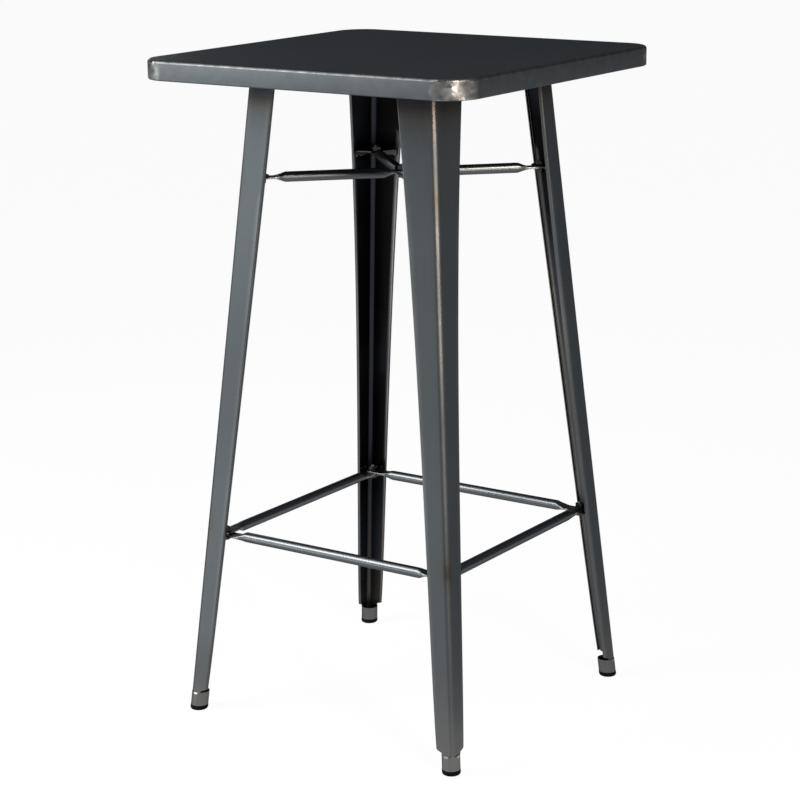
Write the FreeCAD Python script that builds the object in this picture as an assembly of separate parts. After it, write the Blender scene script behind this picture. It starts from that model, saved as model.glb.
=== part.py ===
import FreeCAD, Part
import math
import os

from FreeCAD import Vector

# A tall square steel table: a pressed tray top on four tapered sheet legs,
# tied by a crossed pair of tubes near the top and a square of tubes near the floor.
# All sizes are in millimetres. The floor is z = 0 and the table's axis is x = y = 0.

# Overall
table_height = 1100.0
top_side = 610.0
leg_top_span = 349.0
leg_foot_span = 535.0

# Tray top
top_sheet = 1.5
rim_height = 32.0
top_corner_radius = 54.0
top_edge_radius = 5.0
rim_return = 12.0

# Rails welded under the tray
rail_depth = 18.0
rail_width = 56.0
rail_sheet = 1.5
rail_end_reach = 24.0

# Legs, folded from sheet into an angle with a bevelled corner and turned-in lips
leg_sheet = 1.5
leg_top_flange = 62.0
leg_foot_flange = 31.5
leg_taper_share = 0.56
leg_taper_power = 0.6
leg_flare_power = 3
leg_lip = 6.0
leg_lip_radius = 2.5
leg_fold_radius = 8.0
leg_top_bevel = 3.0
leg_foot_bevel = 0.6
leg_tongue = 21.5
leg_notch = 7.5
leg_notch_slant = 4.2
leg_open_angle = 15.0
leg_open_power = 3
leg_section_shares = (0.0, 0.06, 0.16, 0.32, 0.5, 0.75, 1.0)

# Feet
ferrule_diameter = 29.6
ferrule_length = 24.0
ferrule_inset = 12.6
foot_height = 8.0
foot_overhang = 0.3
foot_plug_length = 14.0

# Tubes with flattened ends
tube_diameter = 17.0
tube_wall = 1.2
flat_width = 23.0
flat_thickness = 3.2
flat_slit = 0.4
swage_length = 19.0
brace_flat_run = 20.0
brace_centre_run = 13.0
stretcher_flat_run = 26.0

# Where the tubes are bolted
brace_drop = 196.0
brace_bolt_inset = 26.0
stretcher_height = 308.0
stretcher_bolt_inset = 24.5

# Brackets in the legs and plates at the legs' tops
bracket_sheet = 2.0
bracket_tab = 10.0
bracket_nose = 12.0
bracket_corner_gap = 4.0
bracket_edge_gap = 3.0
leg_plate_thickness = 3.0
leg_plate_bolt_inset = 28.0
leg_plate_bolt_spacing = 28.0
leg_plate_nose = 23.0

# Fasteners
bolt_diameter = 8.0
bolt_head_flats = 13.0
bolt_head_height = 5.3
bolt_end = 2.5
nut_height = 6.5
washer_diameter = 16.0
washer_thickness = 1.6

# Clearances
hole_clearance = 0.5
weld_gap = 0.2
plug_clearance = 0.3
cut_overrun = 5.0

# Worked out from the sizes above
top_underside = table_height - top_sheet
leg_top = top_underside - rail_depth
ferrule_top = foot_height + ferrule_length
brace_height = table_height - brace_drop
hole_radius = bolt_diameter / 2 + hole_clearance
up = Vector(0, 0, 1)
outward = Vector(1, 1, 0) / math.sqrt(2)
across = Vector(1, -1, 0) / math.sqrt(2)
corner_names = ("rear_right", "rear_left", "front_left", "front_right")
side_names = ("rear", "left", "front", "right")


def turned(shape, quarter_turns):
    """A copy of a shape, turned by quarter turns about the table's axis."""
    copy = shape.copy()
    copy.rotate(Vector(0, 0, 0), up, 90 * quarter_turns)
    return copy


def unit(vector):
    return vector / vector.Length


# The leg at the corner where x and y are positive, by height

def corner_at(height):
    """How far the leg's two outer faces lie from the table's axis."""
    return (leg_foot_span + (leg_top_span - leg_foot_span) * height / leg_top) / 2


def blend(height, foot_value, top_value):
    share = (height - ferrule_top) / (leg_top - ferrule_top)
    return foot_value + (top_value - foot_value) * share


def flange_at(height):
    """A flange's width: it grows fast above the foot, slowly up the shaft and fast again at the top."""
    share = blend(height, 0, 1)
    growth = leg_taper_share * share ** leg_taper_power + (1 - leg_taper_share) * share ** leg_flare_power
    return leg_foot_flange + (leg_top_flange - leg_foot_flange) * growth


def opening_at(height):
    """How far each flange opens outward from a right angle; the lower half stays nearly square."""
    return math.radians(leg_open_angle) * blend(height, 0, 1) ** leg_open_power


def bevel_setback_at(height):
    """From the leg's sharp corner to the edge of the bevel, before the fold is rounded."""
    opening = opening_at(height)
    fold = math.pi / 4 - opening
    flat = blend(height, leg_foot_bevel, leg_top_bevel)
    rounding = 2 * leg_fold_radius * math.tan(fold / 2)
    return (flat + rounding) / (math.sqrt(2) * (math.sin(opening) + math.cos(opening)))


def flange_point(side, height, along, depth):
    """A point on a flange: along it from the sharp corner, and at a depth under its outer face."""
    opening = opening_at(height)
    run = Vector(math.sin(opening), -math.cos(opening), 0)
    face = Vector(math.cos(opening), math.sin(opening), 0)
    if side == "left":
        run = Vector(run.y, run.x, 0)
        face = Vector(face.y, face.x, 0)
    corner = Vector(corner_at(height), corner_at(height), height)
    return corner + run * along - face * depth


def leg_outline(height):
    """The leg's outer face in section, from one lip to the other, with sharp corners."""
    width = flange_at(height)
    setback = bevel_setback_at(height)
    return [
        flange_point("right", height, width, leg_lip),
        flange_point("right", height, width, 0),
        flange_point("right", height, setback, 0),
        flange_point("left", height, setback, 0),
        flange_point("left", height, width, 0),
        flange_point("left", height, width, leg_lip),
    ]


def inset_path(points, distance):
    """A path moved to its left by a distance."""
    runs = [unit(end - start) for start, end in zip(points, points[1:])]
    sides = [Vector(-run.y, run.x, 0) for run in runs]
    moved = [points[0] + sides[0] * distance]
    for point, first, second in zip(points[1:-1], sides, sides[1:]):
        moved.append(point + (first + second) * (distance / (1 + first.dot(second))))
    moved.append(points[-1] + sides[-1] * distance)
    return moved


def rounded_path(points, radii):
    """Lines along a path, with an arc of its radius at each inner corner."""
    edges = []
    start = points[0]
    for before, point, after, radius in zip(points, points[1:], points[2:], radii):
        back = unit(before - point)
        onward = unit(after - point)
        half_angle = back.getAngle(onward) / 2
        reach = radius / math.tan(half_angle)
        middle = point + unit(back + onward) * (radius / math.sin(half_angle) - radius)
        arc_start = point + back * reach
        arc_end = point + onward * reach
        edges.append(Part.makeLine(start, arc_start))
        edges.append(Part.Arc(arc_start, middle, arc_end).toShape())
        start = arc_end
    edges.append(Part.makeLine(start, points[-1]))
    return edges


def leg_section(height):
    outer = leg_outline(height)
    inner = inset_path(outer, leg_sheet)
    radii = (leg_lip_radius, leg_fold_radius, leg_fold_radius, leg_lip_radius)
    inner_radii = [radius - leg_sheet for radius in radii]
    edges = rounded_path(outer, radii)
    edges.append(Part.makeLine(outer[-1], inner[-1]))
    edges += rounded_path(inner[::-1], inner_radii[::-1])
    edges.append(Part.makeLine(inner[0], outer[0]))
    return Part.Wire(edges)


def make_leg():
    heights = [ferrule_top + (leg_top - ferrule_top) * share for share in leg_section_shares]
    leg = Part.makeLoft([leg_section(height) for height in heights], True, False)
    # The flanges' free corners are notched, and the rest goes on as a tongue to the ferrule.
    notch_top = ferrule_top + leg_notch
    notch_low = notch_top - leg_notch_slant
    free_edge = corner_at(notch_top) - flange_at(notch_top)
    tongue_edge = corner_at(ferrule_top) - leg_tongue
    low = ferrule_top - cut_overrun
    spots = [(0, notch_top), (free_edge, notch_top), (tongue_edge, notch_low), (tongue_edge, low), (0, low)]
    outline = Part.makePolygon([Vector(x, 0, z) for x, z in spots + spots[:1]])
    notch = Part.Face(outline).extrude(Vector(0, top_side, 0))
    other_notch = notch.mirror(Vector(0, 0, 0), Vector(1, -1, 0))
    return leg.cut([notch, other_notch])


# Feet at the corner where x and y are positive

def foot_axis_at(height):
    """The ferrule's axis; the ferrule is wider than the fold, so it stands out a little from the faces."""
    place = corner_at(height) - ferrule_inset
    return Vector(place, place, height)


def leaning_rod(radius, low, high):
    """A round rod along the leg's axis, cut level at both ends."""
    start = foot_axis_at(low - cut_overrun)
    end = foot_axis_at(high + cut_overrun)
    rod = Part.makeCylinder(radius, (end - start).Length, start, end - start)
    reach = 2 * ferrule_diameter
    middle = foot_axis_at(low)
    slab = Part.makeBox(2 * reach, 2 * reach, high - low, middle - Vector(reach, reach, 0))
    return rod.common(slab)


def make_ferrule():
    tube = leaning_rod(ferrule_diameter / 2, foot_height, ferrule_top)
    bore = leaning_rod(ferrule_diameter / 2 - leg_sheet, foot_height - cut_overrun, ferrule_top + cut_overrun)
    return tube.cut(bore)


def make_foot():
    sole = leaning_rod(ferrule_diameter / 2 + foot_overhang, 0, foot_height)
    plug_radius = ferrule_diameter / 2 - leg_sheet - plug_clearance
    plug = leaning_rod(plug_radius, foot_height, foot_height + foot_plug_length)
    return sole.fuse(plug).removeSplitter()


# Tray top and its rails

def rounded_tray(side, low, high, corner_radius, edge_radius):
    """A square block with rounded upright corners and a rounded upper edge."""
    block = Part.makeBox(side, side, high - low, Vector(-side / 2, -side / 2, low))
    uprights = [edge for edge in block.Edges if abs(edge.tangentAt(edge.FirstParameter).z) > 0.5]
    block = block.makeFillet(corner_radius, uprights)
    upper = [edge for edge in block.Edges if edge.BoundBox.ZMin > (low + high) / 2]
    return block.makeFillet(edge_radius, upper)


def make_top():
    rim_bottom = table_height - rim_height
    outside = rounded_tray(top_side, rim_bottom, table_height, top_corner_radius, top_edge_radius)
    inside = rounded_tray(top_side - 2 * top_sheet, rim_bottom + top_sheet, top_underside,
                          top_corner_radius - top_sheet, top_edge_radius - top_sheet)
    mouth_side = top_side - 2 * rim_return
    mouth = Part.makeBox(mouth_side, mouth_side, rim_height / 2,
                         Vector(-mouth_side / 2, -mouth_side / 2, rim_bottom - rim_height / 4))
    uprights = [edge for edge in mouth.Edges if abs(edge.tangentAt(edge.FirstParameter).z) > 0.5]
    mouth = mouth.makeFillet(top_corner_radius - rim_return, uprights)
    return outside.cut([inside, mouth])


def leg_plate_bolts():
    """The two bolt places at the top of the leg where x and y are positive."""
    inset = corner_at(leg_top) - leg_plate_bolt_inset
    middle = Vector(inset, inset, leg_top)
    step = across * (leg_plate_bolt_spacing / 2)
    return [middle + step, middle - step]


def bolt_hole(place):
    """A hole right through the plates at a bolt's place."""
    reach = rail_depth
    return Part.makeCylinder(hole_radius, 2 * reach, place - up * reach)


def make_rail():
    """The rail on the side where y is positive: an open channel, with its web below."""
    middle = corner_at(leg_top) - leg_plate_bolt_inset
    length = leg_top_span + 2 * rail_end_reach
    low = Vector(-length / 2, middle - rail_width / 2, leg_top)
    channel = Part.makeBox(length, rail_width, rail_depth, low)
    hollow_low = low + Vector(-cut_overrun, rail_sheet, rail_sheet)
    hollow = Part.makeBox(length + 2 * cut_overrun, rail_width - 2 * rail_sheet, rail_depth, hollow_low)
    holes = [bolt_hole(place) for place in leg_plate_bolts()]
    mirrored = [hole.mirror(Vector(0, 0, 0), Vector(1, 0, 0)) for hole in holes]
    return channel.cut([hollow] + holes + mirrored)


# Plates and brackets inside the leg where x and y are positive

def seat_outline(height, depth, bolt, nose, extra):
    """A level outline between the two flanges, with a square nose round the bolt's place."""
    near = bevel_setback_at(height) + leg_fold_radius / 2 + bracket_corner_gap - extra
    far = flange_at(height) - leg_lip_radius - bracket_edge_gap + extra
    centre = Vector(bolt.x, bolt.y, height)
    nose_edge = centre - outward * (nose + extra)
    points = [
        flange_point("right", height, near, depth),
        flange_point("right", height, far, depth),
        nose_edge + across * nose,
        nose_edge - across * nose,
        flange_point("left", height, far, depth),
        flange_point("left", height, near, depth),
    ]
    return Part.makePolygon(points + points[:1])


def seat_block(low, high, depth, bolt, nose, extra):
    outlines = [seat_outline(height, depth, bolt, nose, extra) for height in (low, high)]
    return Part.makeLoft(outlines, True, True)


def make_leg_plate():
    inset = corner_at(leg_top) - leg_plate_bolt_inset
    middle = Vector(inset, inset, 0)
    depth = leg_sheet + weld_gap
    plate = seat_block(leg_top - leg_plate_thickness, leg_top, depth, middle, leg_plate_nose, 0)
    return plate.cut([bolt_hole(place) for place in leg_plate_bolts()])


def make_bracket(plate_low, tabs_up, bolt):
    """A level plate between the flanges, with a tab turned along each of them."""
    depth = leg_sheet + weld_gap
    plate_high = plate_low + bracket_sheet
    if tabs_up:
        block = seat_block(plate_low, plate_low + bracket_tab, depth, bolt, bracket_nose, 0)
        room = seat_block(plate_high, plate_low + bracket_tab + cut_overrun, depth + bracket_sheet, bolt,
                          bracket_nose, cut_overrun)
    else:
        block = seat_block(plate_high - bracket_tab, plate_high, depth, bolt, bracket_nose, 0)
        room = seat_block(plate_high - bracket_tab - cut_overrun, plate_low, depth + bracket_sheet, bolt,
                          bracket_nose, cut_overrun)
    return block.cut([room, bolt_hole(Vector(bolt.x, bolt.y, plate_low))])


def brace_bolt():
    inset = corner_at(brace_height) - brace_bolt_inset
    return Vector(inset, inset, brace_height)


def stretcher_bolt():
    inset = corner_at(stretcher_height) - stretcher_bolt_inset
    return Vector(inset, inset, stretcher_height)


def make_brace_bracket():
    return make_bracket(brace_height + flat_thickness / 2, False, brace_bolt())


def make_stretcher_bracket():
    return make_bracket(stretcher_height - flat_thickness - bracket_sheet, True, stretcher_bolt())


# Tubes, drawn along x about the origin

def ring_wire(place, radius):
    """A circle round x, split where the corners of a flattened end belong."""
    corners = []
    middles = []
    for turn in range(4):
        corner_angle = math.pi / 4 + turn * math.pi / 2
        middle_angle = corner_angle + math.pi / 4
        corners.append(Vector(place, radius * math.cos(corner_angle), radius * math.sin(corner_angle)))
        middles.append(Vector(place, radius * math.cos(middle_angle), radius * math.sin(middle_angle)))
    ends = corners[1:] + corners[:1]
    arcs = [Part.Arc(start, middle, end).toShape() for start, middle, end in zip(corners, middles, ends)]
    return Part.Wire(arcs)


def flat_wire(place, width, thickness, rise):
    signs = ((1, 1), (-1, 1), (-1, -1), (1, -1))
    points = [Vector(place, side * width / 2, rise + level * thickness / 2) for side, level in signs]
    return Part.makePolygon(points + points[:1])


def swage(round_place, flat_place, rise, inset):
    """The stretch where a round tube is pressed flat; an inset gives the hollow in it."""
    ring = ring_wire(round_place, tube_diameter / 2 - inset)
    thickness = flat_slit if inset else flat_thickness
    flat = flat_wire(flat_place, flat_width - 2 * inset, thickness, rise)
    return Part.makeLoft([ring, flat], True, True)


def tube_run(start, end, inset):
    return Part.makeCylinder(tube_diameter / 2 - inset, end - start, Vector(start, 0, 0), Vector(1, 0, 0))


def tongue(bolt_place, flat_place, rise):
    """A flattened end, rounded about its bolt hole."""
    start = min(bolt_place, flat_place)
    run = abs(bolt_place - flat_place)
    bottom = rise - flat_thickness / 2
    blade = Part.makeBox(run, flat_width, flat_thickness, Vector(start, -flat_width / 2, bottom))
    nose = Part.makeCylinder(flat_width / 2, flat_thickness, Vector(bolt_place, 0, bottom))
    return blade.fuse(nose)


def pin_hole(place):
    return Part.makeCylinder(hole_radius, 2 * tube_diameter, Vector(place, 0, -tube_diameter))


def tube_body(spans, inset):
    """Round runs with their pressed ends; each span is (start, end, rise, rise) between two flats."""
    pieces = []
    for start, end, start_rise, end_rise in spans:
        round_start = start + swage_length
        round_end = end - swage_length
        pieces.append(swage(round_start, start, start_rise, inset))
        pieces.append(tube_run(round_start, round_end, inset))
        pieces.append(swage(round_end, end, end_rise, inset))
    return pieces


def make_tube(half_pitch, flat_run, spans, flats, hole_places, end_rises):
    solids = tube_body(spans, 0) + flats
    solids.append(tongue(-half_pitch, flat_run - half_pitch, end_rises[0]))
    solids.append(tongue(half_pitch, half_pitch - flat_run, end_rises[1]))
    tube = solids[0].fuse(solids[1:])
    hollows = tube_body(spans, tube_wall)
    return tube.cut(hollows + [pin_hole(place) for place in hole_places]).removeSplitter()


def make_stretcher():
    """The rear one: its right end lies under its neighbour and its left end lies over the other."""
    bolt = stretcher_bolt()
    reach = bolt.x - stretcher_flat_run
    over = flat_thickness / 2
    spans = [(-reach, reach, over, -over)]
    tube = make_tube(bolt.x, stretcher_flat_run, spans, [], (-bolt.x, bolt.x), (over, -over))
    tube.translate(Vector(0, bolt.y, stretcher_height))
    return tube


def make_brace(rise):
    """A diagonal brace, pressed flat at its middle too, where it lies over or under the other."""
    half_pitch = Vector(brace_bolt().x, brace_bolt().y, 0).Length
    reach = half_pitch - brace_flat_run
    spans = [(-reach, -brace_centre_run, 0, rise), (brace_centre_run, reach, rise, 0)]
    low = Vector(-brace_centre_run, -flat_width / 2, rise - flat_thickness / 2)
    middle = Part.makeBox(2 * brace_centre_run, flat_width, flat_thickness, low)
    tube = make_tube(half_pitch, brace_flat_run, spans, [middle], (-half_pitch, 0, half_pitch), (0, 0))
    tube.translate(up * brace_height)
    tube.rotate(Vector(0, 0, 0), up, 45)
    return tube


# Fasteners, standing upright on a place

def hexagon(height, place):
    radius = bolt_head_flats / math.sqrt(3)
    points = []
    for turn in range(6):
        angle = turn * math.pi / 3
        points.append(place + Vector(radius * math.cos(angle), radius * math.sin(angle), 0))
    return Part.Face(Part.makePolygon(points + points[:1])).extrude(up * height)


def make_bolt(place, grip):
    """A bolt whose head lies under a place and whose shank goes up through a grip and a nut."""
    head = hexagon(bolt_head_height, place - up * bolt_head_height)
    shank = Part.makeCylinder(bolt_diameter / 2, grip + nut_height + bolt_end, place)
    return head.fuse(shank).removeSplitter()


def make_washer(place):
    disc = Part.makeCylinder(washer_diameter / 2, washer_thickness, place)
    return disc.cut(Part.makeCylinder(hole_radius, washer_thickness, place))


def make_nut(place):
    bore = Part.makeCylinder(bolt_diameter / 2 + weld_gap, nut_height, place)
    return hexagon(nut_height, place).cut(bore)


def bolted_stack(low_place, grip, washer_below):
    """Bolt, washer and nut through a grip that starts at a place; the washer lies under it or over it."""
    high_place = low_place + up * grip
    total = grip + washer_thickness
    if washer_below:
        head_place = low_place - up * washer_thickness
        return make_bolt(head_place, total), make_washer(head_place), make_nut(high_place)
    nut_place = high_place + up * washer_thickness
    return make_bolt(low_place, total), make_washer(high_place), make_nut(nut_place)


def add_stacks(parts, prefix, stacks):
    """Three nodes from a list of stacks: all the bolts, all the washers and all the nuts."""
    for name, solids in zip(("bolts", "washers", "nuts"), zip(*stacks)):
        parts[prefix + "_" + name] = Part.makeCompound(list(solids))


def make_fasteners():
    parts = {}
    brace_stacks = []
    stretcher_stacks = []
    top_stacks = []
    brace_low = brace_bolt() - up * (flat_thickness / 2)
    stretcher_low = stretcher_bolt() - up * (flat_thickness + bracket_sheet)
    for count in range(4):
        brace = bolted_stack(brace_low, flat_thickness + bracket_sheet, True)
        stretcher = bolted_stack(stretcher_low, 2 * flat_thickness + bracket_sheet, False)
        brace_stacks.append([turned(solid, count) for solid in brace])
        stretcher_stacks.append([turned(solid, count) for solid in stretcher])
    for place in leg_plate_bolts():
        for side in (1, -1):
            for end in (1, -1):
                spot = Vector(side * place.x, end * place.y, leg_top - leg_plate_thickness)
                top_stacks.append(bolted_stack(spot, leg_plate_thickness + rail_sheet, True))
    add_stacks(parts, "brace_end", brace_stacks)
    add_stacks(parts, "stretcher", stretcher_stacks)
    add_stacks(parts, "top_rail", top_stacks)
    middle = bolted_stack(Vector(0, 0, brace_height - flat_thickness), 2 * flat_thickness, False)
    for name, solid in zip(("bolt", "washer", "nut"), middle):
        parts["brace_middle_" + name] = solid
    return parts


def make_parts():
    parts = {"table_top": make_top()}
    rail = make_rail()
    parts["top_rail_rear"] = rail
    parts["top_rail_front"] = turned(rail, 2)
    corner_pieces = {
        "leg": make_leg(),
        "leg_plate": make_leg_plate(),
        "brace_bracket": make_brace_bracket(),
        "stretcher_bracket": make_stretcher_bracket(),
        "ferrule": make_ferrule(),
        "rubber_foot": make_foot(),
    }
    for piece, shape in corner_pieces.items():
        for count, corner in enumerate(corner_names):
            parts[piece + "_" + corner] = turned(shape, count)
    stretcher = make_stretcher()
    for count, side in enumerate(side_names):
        parts["stretcher_" + side] = turned(stretcher, count)
    parts["brace_over"] = make_brace(flat_thickness / 2)
    parts["brace_under"] = turned(make_brace(-flat_thickness / 2), 1)
    parts.update(make_fasteners())
    return parts


os.makedirs("parts", exist_ok=True)
for node, shape in make_parts().items():
    shape.exportStep("parts/" + node + ".step")
    print(node, len(shape.Solids), "solid(s), volume", round(shape.Volume), "valid", shape.isValid())
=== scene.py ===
# %% [markdown]
# # A tall pub table in lacquered gunmetal steel
# The table is a pressed tray top on four folded sheet legs, tied together by round tubes whose
# ends are pressed flat and bolted to brackets inside the legs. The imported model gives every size
# and place, so it is loaded first and never changed. Pieces that need soft folds, rolled edges or
# threads are drawn again around it in mesh code, and each of them names the solid that it stands
# for. Weld beads are added. Flat plates are right as they come, and only get a finish.

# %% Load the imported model
import math

import bmesh
import bpy
from mathutils import Matrix, Vector


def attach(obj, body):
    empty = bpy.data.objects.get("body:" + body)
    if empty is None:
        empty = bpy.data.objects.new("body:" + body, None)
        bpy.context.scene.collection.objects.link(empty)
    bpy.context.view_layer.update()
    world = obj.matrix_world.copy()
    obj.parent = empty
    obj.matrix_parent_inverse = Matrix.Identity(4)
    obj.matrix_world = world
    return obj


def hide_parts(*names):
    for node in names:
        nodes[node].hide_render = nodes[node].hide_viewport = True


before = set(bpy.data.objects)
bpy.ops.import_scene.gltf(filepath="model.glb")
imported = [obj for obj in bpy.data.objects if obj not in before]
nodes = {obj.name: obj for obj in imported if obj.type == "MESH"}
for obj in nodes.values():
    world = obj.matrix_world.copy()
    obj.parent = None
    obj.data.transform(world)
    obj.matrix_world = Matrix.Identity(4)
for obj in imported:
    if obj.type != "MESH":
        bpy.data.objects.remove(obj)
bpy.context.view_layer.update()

scene = bpy.context.scene

# %% [markdown]
# ## Camera
# A long lens, standing back from the table and a little above it, keeps the legs nearly parallel.
# The camera comes before any piece. Its turn is built up from a heading, a tilt and a very
# small roll.

# %% Place the camera
CAMERA_PLACE = (2.07413, -3.08423, 1.47567)
CAMERA_HEADING = 34.034
CAMERA_TILT = 14.423
CAMERA_ROLL = 0.5225
CAMERA_LENS, SENSOR_WIDTH = 103.105, 36.0
FARTHEST_SEEN = 200.0

camera_data = bpy.data.cameras.new("camera")
camera_data.sensor_width = SENSOR_WIDTH
camera_data.lens = CAMERA_LENS
camera_data.clip_end = FARTHEST_SEEN
camera = bpy.data.objects.new("camera", camera_data)
scene.collection.objects.link(camera)
level_turn = Matrix.Rotation(math.radians(CAMERA_HEADING), 4, "Z")
tilt_turn = Matrix.Rotation(math.radians(90 - CAMERA_TILT), 4, "X")
roll_turn = Matrix.Rotation(math.radians(-CAMERA_ROLL), 4, "Z")
camera.matrix_world = Matrix.Translation(CAMERA_PLACE) @ level_turn @ tilt_turn @ roll_turn
scene.camera = camera
print("camera at", CAMERA_PLACE, "lens", CAMERA_LENS, "mm")

# %% [markdown]
# ## Effects that several finishes share
# Brushed steel under clear lacquer shows fine lines from the abrasive belt and a soft clouding
# where the lacquer lies thicker. Folds and lips lose a little of it and show paler metal, and
# welding leaves brown and blue rings, black where the sheet got hottest. The same paler metal is
# also painted on as highlights and reflections, and the same black as shade and shadow. Each
# effect is a node group, built once, and every finish places it with values of its own. Where an
# effect shows is written on the meshes as two values at each point: wear_and_sheen and
# scorch_and_shade. A mesh without them has none.

# %% Helpers for node groups
MIX_SOCKETS, MIX_RESULT = (0, 6, 7), 2


def fill(tree, socket, operand):
    """Links another socket to this one, or gives it a constant."""
    if isinstance(operand, bpy.types.NodeSocket):
        tree.links.new(operand, socket)
    else:
        socket.default_value = operand


def new_group(name, inputs, outputs):
    """A shader node group with named sockets, and its input and output nodes."""
    group = bpy.data.node_groups.new(name, "ShaderNodeTree")
    for title, kind, value in inputs:
        socket = group.interface.new_socket(title, in_out="INPUT", socket_type="NodeSocket" + kind)
        socket.default_value = value
    for title, kind in outputs:
        group.interface.new_socket(title, in_out="OUTPUT", socket_type="NodeSocket" + kind)
    return group, group.nodes.new("NodeGroupInput"), group.nodes.new("NodeGroupOutput")


def math_node(tree, operation, *operands, clamp=False):
    node = tree.nodes.new("ShaderNodeMath")
    node.operation = operation
    node.use_clamp = clamp
    for socket, operand in zip(node.inputs, operands):
        fill(tree, socket, operand)
    return node.outputs[0]


def mix_colours(tree, share, first, second, blend="MIX"):
    node = tree.nodes.new("ShaderNodeMix")
    node.data_type = "RGBA"
    node.blend_type = blend
    for number, operand in zip(MIX_SOCKETS, (share, first, second)):
        fill(tree, node.inputs[number], operand)
    return node.outputs[MIX_RESULT]


def noise_node(tree, vector, scale, detail, roughness=0.5):
    node = tree.nodes.new("ShaderNodeTexNoise")
    node.inputs["Detail"].default_value = detail
    node.inputs["Roughness"].default_value = roughness
    fill(tree, node.inputs["Scale"], scale)
    fill(tree, node.inputs["Vector"], vector)
    return node.outputs["Fac"]


print("helpers for node groups are ready")

# %% Brushed lines and clouding
GRAIN_DETAIL, GRAIN_ROUGHNESS = 3.0, 0.6
CLOUD_DETAIL = 3.0
DENT_SCALE, DENT_DETAIL = 62.0, 1.0


def build_brushed():
    group, given, made = new_group(
        "Brushed Lacquer",
        [("Grain Scale", "Vector", (300.0, 300.0, 6.0)), ("Cloud Scale", "Float", 5.0)],
        [("Grain", "Float"), ("Cloud", "Float"), ("Dent", "Float")],
    )
    place = group.nodes.new("ShaderNodeTexCoord").outputs["Object"]
    stretch = group.nodes.new("ShaderNodeVectorMath")
    stretch.operation = "MULTIPLY"
    group.links.new(place, stretch.inputs[0])
    group.links.new(given.outputs["Grain Scale"], stretch.inputs[1])
    grain = noise_node(group, stretch.outputs[0], 1.0, GRAIN_DETAIL, GRAIN_ROUGHNESS)
    cloud = noise_node(group, place, given.outputs["Cloud Scale"], CLOUD_DETAIL)
    dent = noise_node(group, place, DENT_SCALE, DENT_DETAIL)
    for title, value in (("Grain", grain), ("Cloud", cloud), ("Dent", dent)):
        group.links.new(value, made.inputs[title])
    return group


brushed_lacquer = build_brushed()
print("made", brushed_lacquer.name)

# %% Paler folds and heat marks, also painted highlights and shade
PATCH_CONTRAST, PATCH_SHIFT = 2.4, -0.6
HEAT_CONTRAST, HEAT_SHIFT = 0.7, -0.35
# The dark end of this ramp also paints shade and shadow.
HEAT_AND_SHADE_COLOURS = (
    (0.0, (1, 1, 1, 1)),
    (0.3, (0.98, 0.9, 0.8, 1)),
    (0.55, (0.62, 0.52, 0.46, 1)),
    (0.75, (0.4, 0.42, 0.52, 1)),
    (1.0, (0.09, 0.075, 0.07, 1)),
)


# The paler bare metal that this group mixes in also paints highlights and reflections.
def build_worn_and_sheen():
    group, given, made = new_group(
        "Worn Fold And Sheen",
        [("Steel", "Color", (0.06, 0.06, 0.06, 1)), ("Bare", "Color", (0.3, 0.28, 0.25, 1)),
         ("Wear", "Float", 0.0), ("Cloud", "Float", 0.5)],
        [("Color", "Color"), ("Mask", "Float")],
    )
    cloud = given.outputs["Cloud"]
    patchy = math_node(group, "MULTIPLY_ADD", cloud, PATCH_CONTRAST, PATCH_SHIFT)
    mask = math_node(group, "MULTIPLY", patchy, given.outputs["Wear"], clamp=True)
    worn_and_sheen = mix_colours(group, mask, given.outputs["Steel"], given.outputs["Bare"])
    group.links.new(mask, made.inputs["Mask"])
    group.links.new(worn_and_sheen, made.inputs["Color"])
    return group


def build_heat_and_shade():
    group, given, made = new_group(
        "Weld Heat And Shade",
        [("Steel", "Color", (0.06, 0.06, 0.06, 1)), ("Heat", "Float", 0.0),
         ("Cloud", "Float", 0.5)],
        [("Color", "Color")],
    )
    heat = given.outputs["Heat"]
    uneven = math_node(group, "MULTIPLY_ADD", given.outputs["Cloud"], HEAT_CONTRAST, HEAT_SHIFT)
    spread = math_node(group, "ADD", heat, math_node(group, "MULTIPLY", uneven, heat))
    ramp = group.nodes.new("ShaderNodeValToRGB")
    stops = ramp.color_ramp.elements
    for position, colour in HEAT_AND_SHADE_COLOURS[1:-1]:
        stops.new(position)
    for stop, (position, colour) in zip(stops, HEAT_AND_SHADE_COLOURS):
        stop.color = colour
    group.links.new(spread, ramp.inputs["Fac"])
    tint = ramp.outputs["Color"]
    tinted = mix_colours(group, 1.0, given.outputs["Steel"], tint, "MULTIPLY")
    group.links.new(tinted, made.inputs["Color"])
    return group


worn_fold_and_sheen = build_worn_and_sheen()
weld_heat_and_shade = build_heat_and_shade()
print("made", worn_fold_and_sheen.name, "and", weld_heat_and_shade.name)

# %% [markdown]
# ## Finishes
# All the steel is one dark lacquered metal, so one function makes its finishes and changes only
# the direction of the brushed lines, the gloss and the wear. A metal's colour is what it mirrors
# back, so the base colours are dark. The edge tint is dark too: lacquered gunmetal does not turn
# into a mirror when the top is seen at a low angle.

# %% Lacquered steel
GRAIN_HEIGHT, DENT_HEIGHT = 0.0002, 0.004
BARE_STEEL = (0.33, 0.312, 0.288, 1)
SHEET_DARK = (0.052, 0.057, 0.061, 1)
SHEET_PALE = (0.072, 0.079, 0.085, 1)
EDGE_TINT = (0.42, 0.42, 0.43, 1)


def place_group(tree, group, **values):
    """Puts a node group into a material; each value is a socket or a constant."""
    node = tree.nodes.new("ShaderNodeGroup")
    node.node_tree = group
    for title, value in values.items():
        fill(tree, node.inputs[title.replace("_", " ")], value)
    return node


def vertex_value(tree, name):
    node = tree.nodes.new("ShaderNodeAttribute")
    node.attribute_name = name
    return node.outputs["Fac"]


def bump_node(tree, value, strength, height):
    node = tree.nodes.new("ShaderNodeBump")
    node.inputs["Strength"].default_value = strength
    node.inputs["Distance"].default_value = height
    tree.links.new(value, node.inputs["Height"])
    return node


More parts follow.
